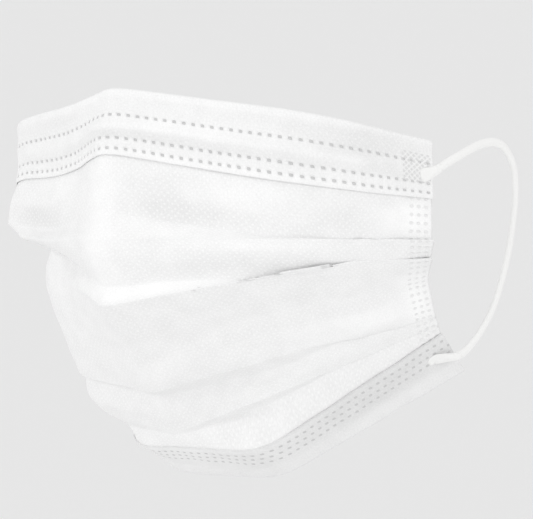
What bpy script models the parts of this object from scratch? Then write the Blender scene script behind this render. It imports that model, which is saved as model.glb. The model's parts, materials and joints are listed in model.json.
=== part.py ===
import math
from collections import namedtuple

import bmesh
import bpy
import numpy as np

# Pleated surgical face mask, opened as it is worn. Metres, +Z up, the front faces -Y.
# The origin is the inner face of the top edge at the nose crease, where the mask sits on
# the bridge of the nose. Back is +Y, down is -Z.

HALF_ACROSS = 0.068  # nose crease to an end edge, measured across
DEPTH = 0.0925  # nose crease to the rearmost hem corner
HEIGHT = 0.105  # top edge at the nose down to the chin

CLOTH_WALL = 0.0012
BINDING_WALL = 0.0010
GAP = 0.0003  # clearance between neighbouring pieces

BINDING_DEPTH = 0.0182  # front leaf of the strip folded over the top edge
BINDING_BACK = 0.0120  # its back leaf
HEM_FRONT_START = 0.25  # where the leaves of the lower strip start, as shares of the way
HEM_BACK_START = 0.60  # from the hem fold to the hem line

WIRE_WIDTH = 0.0042
WIRE_THICK = 0.0008
WIRE_DOWN = 0.0102  # top edge to the middle of the nose wire
WIRE_FAR = -0.62  # ends of the wire, as shares of each half of the mask
WIRE_NEAR = 0.74
WIRE_RAMP = 0.0010  # width of the slope where the binding rises over the wire

LOOP_DIAMETER = 0.0030
LOOP_STEP = 2.4  # centreline points of an ear loop, one every so many diameters
TAB_THICK = 0.0009

COLUMNS_PER_HALF = 28
NOSE_SOFTNESS = 0.0035  # length of the rounding at the nose crease

# Each fold of the cloth runs from the far end edge over the far cheek, the nose crease and
# the near cheek to the near end edge. edge is its place down the end edge. nose is (back,
# down), near and far are (across, back, down). All are shares of the three sizes above.
# soft is the rounding at the cheeks, as a share of the depth.
Fold = namedtuple("Fold", "name edge nose near far soft")
FOLDS = (
    Fold("top edge", 0.000, (0.000, 0.000), (0.765, 0.216, 0.076), (0.809, 0.189, 0.057), 0.14),
    Fold("valley 1", 0.310, (-0.032, 0.314), (0.735, 0.208, 0.376), (0.838, 0.203, 0.343), 0.14),
    Fold("pleat 1", 0.328, (-0.054, 0.381), (0.706, 0.173, 0.384), (0.838, 0.173, 0.355), 0.13),
    Fold("valley 2", 0.382, (-0.027, 0.505), (0.691, 0.190, 0.450), (0.735, 0.245, 0.388), 0.14),
    Fold("pleat 2", 0.402, (-0.043, 0.552), (0.706, 0.151, 0.467), (0.750, 0.213, 0.413), 0.13),
    Fold("cheek line", 0.515, (0.065, 0.657), (0.647, 0.212, 0.552), (0.721, 0.270, 0.590), 0.17),
    Fold("pleat 3", 0.690, (0.178, 0.776), (0.544, 0.238, 0.676), (0.618, 0.324, 0.750), 0.17),
    Fold("valley 3", 0.706, (0.232, 0.786), (0.515, 0.320, 0.697), (0.559, 0.389, 0.758), 0.17),
    Fold("pleat 4", 0.744, (0.299, 0.883), (0.471, 0.281, 0.781), (0.471, 0.368, 0.882), 0.14),
    Fold("valley 4", 0.760, (0.346, 0.888), (0.441, 0.346, 0.802), (0.400, 0.395, 0.900), 0.14),
    Fold("hem fold", 0.800, (0.303, 0.924), (0.412, 0.303, 0.924), (0.294, 0.324, 0.933), 0.12),
    Fold("hem line", 0.952, (0.411, 0.976), (0.397, 0.411, 0.976), (0.368, 0.432, 0.981), 0.12),
    Fold("hem edge", 1.000, (0.432, 1.000), (0.368, 0.443, 0.995), (0.397, 0.454, 1.000), 0.12),
)
# Rows of the mesh within each stretch between two folds
STRETCH_ROWS = (5, 1, 2, 1, 2, 2, 1, 2, 1, 1, 3, 1)

# The welded end edges, in the same shares, the same at both ends
EdgePoint = namedtuple("EdgePoint", "along across back down")
END_EDGE = (
    EdgePoint(0.000, 1.000, 0.541, 0.138),
    EdgePoint(0.218, 1.000, 0.557, 0.308),
    EdgePoint(0.321, 0.963, 0.589, 0.381),
    EdgePoint(0.400, 0.919, 0.627, 0.429),
    EdgePoint(0.515, 0.838, 0.692, 0.476),
    EdgePoint(0.703, 0.779, 0.800, 0.581),
    EdgePoint(0.800, 0.757, 0.865, 0.629),
    EdgePoint(0.952, 0.735, 0.973, 0.700),
    EdgePoint(1.000, 0.743, 1.000, 0.729),
)

# Ear loop route: (across, back, down) in metres for the +X loop, mirrored for the other
LOOP_ROUTE = (
    (0.0702, 0.0456, 0.0223),
    (0.0707, 0.0482, 0.0216),
    (0.0707, 0.0515, 0.0203),
    (0.0704, 0.0565, 0.0182),
    (0.0705, 0.0620, 0.0160),
    (0.0706, 0.0680, 0.0142),
    (0.0708, 0.0740, 0.0135),
    (0.0709, 0.0795, 0.0150),
    (0.0706, 0.0845, 0.0200),
    (0.0693, 0.0885, 0.0275),
    (0.0667, 0.0915, 0.0361),
    (0.0642, 0.0931, 0.0445),
    (0.0616, 0.0936, 0.0526),
    (0.0591, 0.0930, 0.0597),
    (0.0565, 0.0913, 0.0652),
    (0.0545, 0.0888, 0.0690),
    (0.0537, 0.0855, 0.0716),
    (0.0531, 0.0814, 0.0729),
)

TOP_TAB_COLUMNS = 3  # columns of the cloth that a pressed strap end covers
HEM_TAB_COLUMNS = 4
TOP_TAB_DOWN = (0.0061, 0.0084, 0.0107)  # its rows below the top edge
HEM_TAB_FOLDS = (10.40, 10.58, 10.76)  # its rows on the hem, counted in folds


def clear_scene():
    for obj in list(bpy.data.objects):
        bpy.data.objects.remove(obj, do_unlink=True)


def placed(across, back, down):
    """A place on the outer face of the cloth; the seat lies behind the cloth and the binding."""
    seat = CLOTH_WALL + GAP + BINDING_WALL
    return np.array((across * HALF_ACROSS, back * DEPTH - seat, -down * HEIGHT))


def end_point(along, side):
    """A place down the end edge; side is -1 for the far end and 1 for the near one."""
    places = [point.along for point in END_EDGE]
    across = np.interp(along, places, [point.across for point in END_EDGE])
    back = np.interp(along, places, [point.back for point in END_EDGE])
    down = np.interp(along, places, [point.down for point in END_EDGE])
    return placed(side * across, back, down)


def rounded_corner(before, corner, after, softness, steps=9):
    """Points of a curve that rounds one corner of a line."""
    to_before = before - corner
    to_after = after - corner
    reach_before = min(softness, 0.9 * np.linalg.norm(to_before))
    reach_after = min(softness, 0.9 * np.linalg.norm(to_after))
    start = corner + to_before / np.linalg.norm(to_before) * reach_before
    stop = corner + to_after / np.linalg.norm(to_after) * reach_after
    share = np.linspace(0.0, 1.0, steps)[:, None]
    return start * (1 - share) ** 2 + 2 * corner * share * (1 - share) + stop * share ** 2


def resampled(points, shares):
    """Points at given shares of the length of a line."""
    steps = np.linalg.norm(np.diff(points, axis=0), axis=1)
    length = np.concatenate(([0.0], np.cumsum(steps)))
    wanted = np.asarray(shares) * length[-1]
    return np.stack([np.interp(wanted, length, points[:, axis]) for axis in range(3)], axis=1)


def fold_line(fold, shares):
    """A fold's points; shares run from -1 at the far end over 0 at the nose to 1 at the near end."""
    nose = placed(0.0, *fold.nose)
    cheek = {-1: placed(-fold.far[0], *fold.far[1:]), 1: placed(*fold.near)}
    soft_nose = rounded_corner(cheek[-1], nose, cheek[1], NOSE_SOFTNESS)
    middle = len(soft_nose) // 2
    halves = {}
    for side, start in ((-1, soft_nose[middle::-1]), (1, soft_nose[middle:])):
        stop = end_point(fold.edge, side)
        bend = rounded_corner(nose, cheek[side], stop, fold.soft * DEPTH)
        line = np.concatenate((start, bend, [stop]))
        halves[side] = resampled(line, [share * side for share in shares if share * side >= 0][::side])
    return np.concatenate((halves[-1][::-1][:-1], halves[1]))


def column_shares():
    half = [step / COLUMNS_PER_HALF for step in range(COLUMNS_PER_HALF + 1)]
    return [-share for share in half[:0:-1]] + half


def fold_grid(shares):
    """Fold points for every column: an array of columns, folds and coordinates."""
    return np.stack([fold_line(fold, shares) for fold in FOLDS], axis=1)


def cloth_grid(folds):
    rows = []
    for index, count in enumerate(STRETCH_ROWS):
        upper = folds[:, index]
        lower = folds[:, index + 1]
        rows.extend(upper + (lower - upper) * step / count for step in range(count))
    rows.append(folds[:, -1])
    return np.stack(rows, axis=1)


def unit(vectors):
    return vectors / np.maximum(np.linalg.norm(vectors, axis=-1, keepdims=True), 1e-12)


def outward(grid):
    """Mitred outward normals of a grid of columns and rows."""
    along = np.diff(grid, axis=0)
    down = np.diff(grid, axis=1)
    faces = unit(np.cross(along[:, :-1] + along[:, 1:], down[:-1] + down[1:]))
    padded = np.pad(faces, ((1, 1), (1, 1), (0, 0)), mode="edge")
    corners = (padded[:-1, :-1], padded[1:, :-1], padded[:-1, 1:], padded[1:, 1:])
    mean = unit(sum(corners))
    agreement = sum((mean * corner).sum(axis=-1) for corner in corners) / 4
    return -mean / np.maximum(agreement, 0.7)[..., None]


class Cloth:
    """The outer face of the cloth and its outward normals, over given columns."""

    def __init__(self, shares):
        self.folds = fold_grid(shares)
        self.points = cloth_grid(self.folds)
        self.normals = outward(self.points)
        self.top_panel = np.linalg.norm(self.folds[:, 1] - self.folds[:, 0], axis=1)

    def at_folds(self, places):
        """Points and normals at places counted in folds, 10.5 being halfway from fold 10 to 11."""
        rows = []
        for index, count in enumerate(STRETCH_ROWS):
            rows.extend(index + step / count for step in range(count))
        rows.append(len(STRETCH_ROWS))
        places = np.broadcast_to(np.asarray(places, dtype=float), (len(self.points), np.shape(places)[-1]))
        found = []
        for source in (self.points, self.normals):
            columns = [
                np.stack([np.interp(place, rows, column[:, axis]) for axis in range(3)], axis=1)
                for place, column in zip(places, source)
            ]
            found.append(np.array(columns))
        return found

    def below_top(self, distances):
        """Points and normals at distances in metres down from the top edge."""
        return self.at_folds(np.asarray(distances)[None, :] / self.top_panel[:, None])


def material(name, colour, roughness, metallic=0.0):
    made = bpy.data.materials.new(name)
    made.use_nodes = True
    shader = made.node_tree.nodes["Principled BSDF"]
    shader.inputs["Base Color"].default_value = (*colour, 1.0)
    shader.inputs["Roughness"].default_value = roughness
    shader.inputs["Metallic"].default_value = metallic
    return made


def wall_solid(name, outer, inner, surface):
    """A closed wall between two grids of the same size, given as columns and rows."""
    mesh = bpy.data.meshes.new(name)
    build = bmesh.new()
    skins = []
    for grid in (outer, inner):
        skins.append([[build.verts.new(point) for point in column] for column in grid])
    columns = len(outer)
    rows = len(outer[0])
    front, back = skins
    for c in range(columns - 1):
        for r in range(rows - 1):
            build.faces.new((front[c][r], front[c + 1][r], front[c + 1][r + 1], front[c][r + 1]))
            build.faces.new((back[c][r], back[c][r + 1], back[c + 1][r + 1], back[c + 1][r]))
        for r in (0, rows - 1):
            build.faces.new((front[c][r], back[c][r], back[c + 1][r], front[c + 1][r]))
    for c in (0, columns - 1):
        for r in range(rows - 1):
            build.faces.new((front[c][r], front[c][r + 1], back[c][r + 1], back[c][r]))
    bmesh.ops.recalc_face_normals(build, faces=build.faces)
    bmesh.ops.triangulate(build, faces=build.faces)
    build.to_mesh(mesh)
    build.free()
    mesh.materials.append(surface)
    for polygon in mesh.polygons:
        polygon.use_smooth = True
    made = bpy.data.objects.new(name, mesh)
    bpy.context.collection.objects.link(made)
    return made


def make_body(cloth, surface):
    inner = cloth.points - cloth.normals * CLOTH_WALL
    return wall_solid("mask_body", cloth.points, inner, surface)


def wire_rise(shares, distances):
    """How far the binding stands off the cloth to make room for the nose wire."""
    half_width = WIRE_WIDTH / 2 + GAP
    reach = np.abs(np.asarray(distances) - WIRE_DOWN)
    over = np.clip((half_width + WIRE_RAMP - reach) / WIRE_RAMP, 0.0, 1.0)
    step = 1.0 / COLUMNS_PER_HALF
    along = np.array([WIRE_FAR - step <= share <= WIRE_NEAR + step for share in shares], dtype=float)
    return np.outer(along, over) * (WIRE_THICK + GAP)


def wrap_over(name, front, back, surface, rise=None):
    """A strip folded over an edge of the cloth. front runs to the edge, back away from it."""
    front_points, front_normals = front
    back_points, back_normals = back
    beyond = unit(back_points[:, 0] - back_points[:, 1])
    lift = np.zeros(front_points.shape[:2]) if rise is None else rise
    skins = []
    for depth in (GAP + BINDING_WALL, GAP):
        leaf = front_points + front_normals * (depth + lift)[..., None]
        inside = back_points - back_normals * (CLOTH_WALL + depth)
        front_fold = leaf[:, -1] + beyond * depth
        back_fold = inside[:, 0] + beyond * depth
        skins.append(np.concatenate((leaf, front_fold[:, None], back_fold[:, None], inside), axis=1))
    return wall_solid(name, skins[0], skins[1], surface)


def make_wire(surface):
    shares = [share for share in column_shares() if WIRE_FAR <= share <= WIRE_NEAR]
    edges = (WIRE_DOWN - WIRE_WIDTH / 2, WIRE_DOWN, WIRE_DOWN + WIRE_WIDTH / 2)
    points, normals = Cloth(shares).below_top(edges)
    return wall_solid("nose_wire", points + normals * (GAP + WIRE_THICK), points + normals * GAP, surface)


def make_tab(name, cloth_rows, columns, surface):
    """A strap end pressed flat on the binding or the hem."""
    points, normals = (rows[columns] for rows in cloth_rows)
    seat = GAP + BINDING_WALL + GAP
    return wall_solid(name, points + normals * (seat + TAB_THICK), points + normals * seat, surface)


def end_columns(side, count):
    """The last columns before an end edge, the one on the edge itself left free."""
    return slice(-1 - count, -1) if side > 0 else slice(1, 1 + count)


def smooth_route(points):
    """A smooth curve through a cord's points, as many as its step asks for."""
    fine = []
    padded = [2 * points[0] - points[1], *points, 2 * points[-1] - points[-2]]
    for before, start, stop, after in zip(padded, padded[1:], padded[2:], padded[3:]):
        for share in np.linspace(0.0, 1.0, 8, endpoint=False):
            value = 0.5 * (
                2 * start
                + (stop - before) * share
                + (2 * before - 5 * start + 4 * stop - after) * share ** 2
                + (3 * start - before - 3 * stop + after) * share ** 3
            )
            fine.append(value)
    fine.append(points[-1])
    fine = np.array(fine)
    length = np.linalg.norm(np.diff(fine, axis=0), axis=1).sum()
    count = round(length / (LOOP_STEP * LOOP_DIAMETER))
    return resampled(fine, np.linspace(0.0, 1.0, count + 1))


def make_loop(name, side, surface):
    route = [np.array((side * across, back, -down)) for across, back, down in LOOP_ROUTE]
    points = smooth_route(route)
    curve = bpy.data.curves.new(name, "CURVE")
    curve.dimensions = "3D"
    curve.bevel_depth = LOOP_DIAMETER / 2
    curve.bevel_resolution = 2
    curve.use_fill_caps = True
    spline = curve.splines.new("POLY")
    spline.points.add(len(points) - 1)
    for target, point in zip(spline.points, points):
        target.co = (*point, 1.0)
    curve.materials.append(surface)
    made = bpy.data.objects.new(name, curve)
    bpy.context.collection.objects.link(made)
    return made


def main():
    clear_scene()
    spunbond = material("white_spunbond", (0.87, 0.87, 0.86), 0.85)
    strip = material("white_binding", (0.88, 0.88, 0.87), 0.8)
    elastic = material("white_elastic", (0.86, 0.86, 0.85), 0.9)
    wire = material("coated_wire", (0.8, 0.8, 0.8), 0.45)

    shares = column_shares()
    cloth = Cloth(shares)
    make_body(cloth, spunbond)

    wire_top = WIRE_DOWN - WIRE_WIDTH / 2 - GAP
    wire_foot = WIRE_DOWN + WIRE_WIDTH / 2 + GAP
    leaf = (BINDING_DEPTH, wire_foot + WIRE_RAMP, wire_foot, wire_top, wire_top - WIRE_RAMP, 0.0)
    back_leaf = (0.0, BINDING_BACK / 2, BINDING_BACK)
    rise = wire_rise(shares, leaf)
    wrap_over("top_binding", cloth.below_top(leaf), cloth.below_top(back_leaf), strip, rise)
    make_wire(wire)

    hem_line = len(FOLDS) - 2
    hem_edge = len(FOLDS) - 1
    front_start = hem_line - 1 + HEM_FRONT_START
    back_start = hem_line - 1 + HEM_BACK_START
    hem_leaf = cloth.at_folds((front_start, hem_line - 1 / 3, hem_line, hem_edge))
    wrap_over("bottom_hem", hem_leaf, cloth.at_folds((hem_edge, hem_line, back_start)), strip)

    top_rows = cloth.below_top(TOP_TAB_DOWN)
    hem_rows = cloth.at_folds(HEM_TAB_FOLDS)
    for side, word in ((1, "right"), (-1, "left")):
        make_loop(f"ear_loop_{word}", side, elastic)
        make_tab(f"weld_tab_{word}_top", top_rows, end_columns(side, TOP_TAB_COLUMNS), elastic)
        make_tab(f"weld_tab_{word}_bottom", hem_rows, end_columns(side, HEM_TAB_COLUMNS), elastic)


main()
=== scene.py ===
import json
import math
from collections import namedtuple

import bmesh
import bpy
import numpy as np
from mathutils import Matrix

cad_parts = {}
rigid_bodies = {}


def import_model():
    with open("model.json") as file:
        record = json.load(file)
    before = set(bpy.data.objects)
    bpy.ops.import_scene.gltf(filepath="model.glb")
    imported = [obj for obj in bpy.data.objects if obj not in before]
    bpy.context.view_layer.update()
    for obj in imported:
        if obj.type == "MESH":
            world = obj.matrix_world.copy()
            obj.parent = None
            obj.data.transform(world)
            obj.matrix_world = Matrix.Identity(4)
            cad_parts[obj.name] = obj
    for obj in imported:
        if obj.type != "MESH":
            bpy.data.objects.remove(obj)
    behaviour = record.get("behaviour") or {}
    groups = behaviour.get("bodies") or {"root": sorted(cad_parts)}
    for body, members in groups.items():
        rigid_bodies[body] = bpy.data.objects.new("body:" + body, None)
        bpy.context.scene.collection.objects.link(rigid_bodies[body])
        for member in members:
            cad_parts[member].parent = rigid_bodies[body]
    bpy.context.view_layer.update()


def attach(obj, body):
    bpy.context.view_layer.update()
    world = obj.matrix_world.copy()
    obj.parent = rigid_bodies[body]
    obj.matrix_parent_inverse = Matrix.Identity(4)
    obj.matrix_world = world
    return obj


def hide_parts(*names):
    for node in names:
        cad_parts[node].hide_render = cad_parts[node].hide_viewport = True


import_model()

mm = 0.001

# A pleated surgical mask opened as it is worn, seen from its own left front.
# share runs along the cloth: -1 far end, 0 nose crease, 1 near end. down is the distance
# in metres down the flat cloth from the top edge.

mask = {
    "halfAcross": 0.068,  # the same three sizes that the folds are shares of in the solid
    "depth": 0.0925,
    "height": 0.105,
    "seat": 0.0025,  # the origin lies this far behind the outer face
    "halfCut": 0.0875,  # nose crease to an end, on the flat cut
    "ply": 0.00042,
    "bindingPly": 0.0003,
    "flattenFrom": 0.36,  # share where the pleats start to lie flat on each other
    "flattenTo": 0.80,
}

# edge is the place on the end edge; nose, near and far are where the fold bends, as shares
# of the mask's sizes; tight is the softness of those bends and roll that of the fold itself, in mm
Fold = namedtuple("Fold", "name edge nose near far tightNose tightNear tightFar rollNear rollFar")
folds = (
    Fold("top edge", 0.000, (0.000, 0.000), (0.765, 0.216, 0.076), (0.809, 0.189, 0.064), 4.0, 13, 12, 0.5, 0.5),
    Fold("valley 1", 0.346, (-0.032, 0.312), (0.735, 0.205, 0.390), (0.846, 0.180, 0.324), 5.0, 13, 2, 0.6, 1.2),
    Fold("pleat 1", 0.321, (-0.060, 0.381), (0.706, 0.173, 0.381), (0.760, 0.166, 0.366), 5.0, 12, 9, 0.6, 3.2),
    Fold("valley 2", 0.485, (-0.027, 0.505), (0.706, 0.158, 0.469), (0.757, 0.262, 0.400), 3.0, 13, 10, 0.7, 1.3),
    Fold("pleat 2", 0.395, (-0.043, 0.552), (0.706, 0.151, 0.462), (0.712, 0.248, 0.436), 4.0, 12, 12, 0.5, 1.8),
    Fold("cheek line", 0.515, (0.065, 0.657), (0.647, 0.212, 0.552), (0.721, 0.270, 0.590), 6.0, 16, 15, 6.0, 5.0),
    Fold("pleat 3", 0.703, (0.178, 0.776), (0.544, 0.238, 0.676), (0.642, 0.324, 0.748), 1.5, 16, 12, 0.5, 0.6),
    Fold("valley 3", 0.606, (0.224, 0.784), (0.515, 0.310, 0.709), (0.628, 0.333, 0.755), 2.5, 16, 12, 2.8, 1.2),
    Fold("pleat 4", 0.752, (0.285, 0.886), (0.471, 0.281, 0.781), (0.545, 0.356, 0.848), 4.0, 13, 10, 0.7, 2.2),
    Fold("valley 4", 0.700, (0.290, 0.893), (0.441, 0.330, 0.800), (0.455, 0.386, 0.880), 4.0, 13, 12, 1.4, 1.0),
    Fold("hem fold", 0.800, (0.303, 0.924), (0.412, 0.303, 0.924), (0.294, 0.324, 0.933), 5.0, 8, 9, 0.45, 0.45),
    Fold("hem line", 0.952, (0.411, 0.976), (0.397, 0.411, 0.976), (0.290, 0.425, 0.970), 6.0, 9, 12, 1.0, 1.0),
    Fold("hem edge", 1.000, (0.432, 1.000), (0.368, 0.443, 0.995), (0.300, 0.445, 0.993), 6.0, 9, 14, 0.5, 0.5),
)

# Where a fold leaves its straight run: share along it, reach in shares, and how far outwards
# and down, in mm
Sway = namedtuple("Sway", "fold share reach out down")
sways = (
    Sway("top edge", -0.24, 0.16, 0.0, 0.9),
    Sway("valley 1", -0.36, 0.22, -3.2, 3.3),
    Sway("valley 2", -0.46, 0.22, -4.5, 0.0),
    Sway("pleat 2", -0.52, 0.20, -2.0, 0.0),
    Sway("valley 2", 0.20, 0.16, 0.0, -0.8),
    Sway("valley 2", 0.53, 0.20, -2.1, 1.1),
    Sway("pleat 2", 0.74, 0.16, 0.0, -1.3),
    Sway("valley 2", 0.80, 0.12, 0.4, -0.5),
    Sway("pleat 1", -0.36, 0.18, 0.8, 1.2),
)

# The cloth between two folds: its flat width, how far its top and foot stand off where the
# pleats lie flat on each other, and how much its middle swells on each side, all in mm
Stretch = namedtuple("Stretch", "width top foot swellNear swellNose swellFar")
stretches = (
    Stretch(33.0, 0.00, 0.00, 2.2, 1.0, -1.6),
    Stretch(8.0, 0.02, 0.02, 0.0, 0.0, 0.0),
    Stretch(13.4, 0.90, 0.42, 1.1, 0.5, 0.6),
    Stretch(7.0, 0.02, 0.02, 0.1, 0.0, 0.2),
    Stretch(15.0, 0.92, 0.90, 0.2, 0.3, 0.4),
    Stretch(16.0, 0.90, 0.90, 0.4, 0.3, 0.3),
    Stretch(6.2, 0.02, 0.02, 0.0, 0.0, 0.0),
    Stretch(12.0, 0.00, 0.55, 0.5, 0.6, 1.7),
    Stretch(5.0, 0.02, 0.02, 0.0, 0.0, 0.0),
    Stretch(6.0, 0.00, 0.00, 0.2, 0.2, 0.2),
    Stretch(11.4, 0.00, 0.00, 0.0, 0.0, 0.0),
    Stretch(3.4, 0.00, 0.00, 0.0, 0.0, 0.0),
)
outerFolds = (0, 2, 4, 6, 8, 10, 12)  # the folds that stand out; the valleys lie between them
hemFold = 10

# The cut edge at the end: along it, then its place as shares of the mask's sizes
EdgePoint = namedtuple("EdgePoint", "along across back down")
endEdge = (
    EdgePoint(0.000, 1.000, 0.541, 0.138),
    EdgePoint(0.218, 1.000, 0.557, 0.308),
    EdgePoint(0.321, 0.963, 0.589, 0.381),
    EdgePoint(0.400, 0.919, 0.627, 0.429),
    EdgePoint(0.515, 0.838, 0.692, 0.476),
    EdgePoint(0.703, 0.779, 0.800, 0.581),
    EdgePoint(0.800, 0.757, 0.865, 0.629),
    EdgePoint(0.952, 0.735, 0.973, 0.700),
    EdgePoint(1.000, 0.743, 1.000, 0.729),
)


def placed(across, back, down):
    return np.array((across * mask["halfAcross"], back * mask["depth"] - mask["seat"], -down * mask["height"]))


def endPoint(along, side):
    places = [point.along for point in endEdge]
    across = np.interp(along, places, [point.across for point in endEdge])
    back = np.interp(along, places, [point.back for point in endEdge])
    down = np.interp(along, places, [point.down for point in endEdge])
    return placed(side * across, back, down)


def roundedCorner(before, corner, after, softness, steps=17):
    toBefore = before - corner
    toAfter = after - corner
    start = corner + toBefore * min(softness / np.linalg.norm(toBefore), 0.9)
    stop = corner + toAfter * min(softness / np.linalg.norm(toAfter), 0.9)  # never the whole side
    t = np.linspace(0, 1, steps)[:, None]
    return start * (1 - t) ** 2 + 2 * corner * t * (1 - t) + stop * t**2


def atShares(points, shares):
    # points of a line at the given shares of its length
    length = np.concatenate(([0.0], np.cumsum(np.linalg.norm(np.diff(points, axis=0), axis=1))))
    wanted = np.asarray(shares) * length[-1]
    return np.stack([np.interp(wanted, length, points[:, axis]) for axis in range(3)], axis=1)


def foldLine(fold, half):
    nose = placed(0, *fold.nose)
    cheek = {-1: placed(-fold.far[0], *fold.far[1:]), 1: placed(*fold.near)}
    tight = {-1: fold.tightFar * mm, 1: fold.tightNear * mm}
    crease = roundedCorner(cheek[-1], nose, cheek[1], fold.tightNose * mm)
    middle = len(crease) // 2
    lines = {}
    for side, start in ((-1, crease[middle::-1]), (1, crease[middle:])):
        stop = endPoint(fold.edge, side)
        bend = roundedCorner(nose, cheek[side], stop, tight[side])
        lines[side] = atShares(np.concatenate((start, bend, [stop])), half)
    return np.concatenate((lines[-1][:0:-1], lines[1]))


def unit(vectors):
    return vectors / np.maximum(np.linalg.norm(vectors, axis=-1, keepdims=True), 1e-12)


def smoothStep(value, low, high):
    t = np.clip((value - low) / (high - low), 0, 1)
    return t * t * (3 - 2 * t)


# Soft hollows and swellings of the worn cloth: where (share, down mm), how far along and
# down they reach in mm, their slant in degrees and how far they stand out in mm
Dent = namedtuple("Dent", "share down reach width slant rise")
dents = (
    Dent(-0.40, 25.5, 17, 5, 4, 1.9),  # the swelling over the far sag of the first valley
    Dent(0.36, 23.0, 14, 5, -6, 0.7),
    Dent(0.60, 28.5, 13, 4, -12, -0.9),
    Dent(0.84, 26.0, 8, 5, -25, 0.8),
    Dent(0.84, 8.0, 6, 2.4, -30, 0.45),
    Dent(0.46, 46.0, 20, 3.2, -2, 0.5),
    Dent(-0.64, 67.0, 13, 7, 0, 2.0),  # the bulge under the far pinch of the second valley
    Dent(0.58, 71.0, 6, 13, 12, -0.9),
    Dent(0.78, 88.0, 17, 4.5, 3, 1.3),
    Dent(0.30, 90.0, 14, 3.5, 3, 0.7),
    Dent(0.02, 88.0, 6, 6, 0, 0.5),
    Dent(-0.55, 80.0, 10, 7, -20, -0.4),
    Dent(0.15, 118.0, 12, 3, 10, 0.3),
    Dent(0.60, 106.0, 14, 4, 8, 0.5),
)


def dentField(shares, downs):
    u = shares[:, None] * mask["halfCut"] / mm
    v = downs[None, :] / mm
    total = np.zeros((len(shares), len(downs)))
    for dent in dents:
        angle = math.radians(dent.slant)
        x = u - dent.share * mask["halfCut"] / mm
        y = v - dent.down
        along = (x * math.cos(angle) + y * math.sin(angle)) / dent.reach
        across = (y * math.cos(angle) - x * math.sin(angle)) / dent.width
        total += dent.rise * np.exp(-(along**2) - across**2)
    # slow waves of a tenth of a millimetre keep the panels from looking pressed
    waves = 0.10 * np.sin(u * 0.31 + v * 0.11 + 1.0) * np.sin(v * 0.23 - u * 0.07)
    waves += 0.07 * np.sin(u * 0.53 - v * 0.37 + 2.2) + 0.05 * np.sin(u * 0.21 + v * 0.71 + 0.4)
    return (total + waves) * mm


# Painted highlights and painted shade: where the cloth's colour is made lighter or darker to stand in for the light and
# shade on it: place, reach and slant as for a dent, and how much
Density = namedtuple("Density", "share down reach width slant more")
clothPaintedLight = (
    Density(-0.03, 34, 5.5, 22, 0, 0.26),  # painted highlight along the nose crease, from the strip to the second shelf
    Density(0.40, 23.5, 15, 4.5, 6, 0.24),
    Density(0.57, 26.5, 6, 2.5, -8, 0.16),
    Density(0.18, 29, 9, 5.5, 20, -0.20),
    Density(0.70, 28, 15, 4.5, 0, -0.12),
    Density(0.87, 25.5, 7, 4, -18, 0.32),
    Density(0.42, 43, 15, 2.2, 0, 0.16),
    Density(0.40, 48, 22, 4.0, 0, -0.20),
    Density(0.20, 37, 14, 3.4, 0, 0.14),
    Density(0.12, 57.5, 16, 3.0, 0, 0.30),
    Density(0.30, 20, 9, 4, 0, -0.10),
    Density(0.26, 30.6, 16, 2.6, 0, -0.16),
    Density(0.58, 68, 6, 13, 10, -0.10),
    Density(0.72, 87, 18, 4.5, -2, 0.28),
    Density(0.94, 82, 5, 12, 0, 0.34),  # painted highlight on the pressed end of the pleats
    Density(0.95, 28, 5, 9, 0, 0.30),
    Density(0.05, 86, 7, 4, 0, 0.20),
    Density(-0.30, 21, 7, 4, 20, 0.14),
    Density(-0.42, 29.5, 11, 3.2, 0, -0.34),
    Density(-0.50, 62, 9, 5, 20, 0.20),
)

# Painted highlights and painted shade on the top strip, down from its folded edge
stripPaintedLight = (
    Density(0.80, 3.6, 13, 3.6, -4, -0.42),
    Density(0.84, 9.8, 8, 3.0, 6, -0.24),
    Density(0.60, 3.8, 9, 2.6, 2, -0.12),
    Density(0.20, 8.6, 24, 2.0, 0, 0.22),
    Density(0.20, 11.6, 40, 1.3, 0, -0.22),
    Density(0.30, 17.0, 60, 1.6, 0, 0.20),
    Density(0.20, 0.5, 60, 1.0, 0, 0.16),
    Density(-0.40, 4.0, 20, 2.5, 0, -0.14),
)


# painted highlights and painted shade: how much lighter or darker the cloth's colour is made at each point
def paintedLightAndShade(shares, downs, places=clothPaintedLight):
    u = shares * mask["halfCut"] / mm
    total = np.zeros(len(shares))
    for place in places:
        angle = math.radians(place.slant)
        x = u - place.share * mask["halfCut"] / mm
        y = downs / mm - place.down
        along = (x * math.cos(angle) + y * math.sin(angle)) / place.reach
        across = (y * math.cos(angle) - x * math.sin(angle)) / place.width
        total += place.more * np.exp(-(along**2) - across**4)
    return total


foldDowns = np.concatenate(([0.0], np.cumsum([stretch.width for stretch in stretches]))) * mm
hemTop = foldDowns[hemFold]
hemLength = foldDowns[-1] - hemTop


def clothRows(spacing):
    # rows lie close together beside each fold and at the spacing, in mm, between them
    near = (0.2, 0.5, 0.9, 1.4, 2.1)
    rows = set()
    for k, middle in enumerate(foldDowns):
        rows.add(round(middle / mm, 3))
        for side, other in ((-1, k - 1), (1, k + 1)):
            if 0 <= other < len(foldDowns):
                room = abs(foldDowns[other] - middle) / mm / 2
                rows.update(round(middle / mm + side * step, 3) for step in near if step < room)
    ordered = sorted(rows)
    filled = []
    for start, stop in zip(ordered, ordered[1:]):
        count = max(1, math.ceil((stop - start) / spacing - 0.25))
        filled.extend(np.linspace(start, stop, count + 1)[:-1])
    return np.array([*filled, ordered[-1]]) * mm


def sideBlend(shares, near, nose, far):
    nearWeight = smoothStep(shares, 0.02, 0.22)
    farWeight = smoothStep(-shares, 0.02, 0.22)
    return near * nearWeight + far * farWeight + nose * (1 - nearWeight - farWeight)


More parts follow.
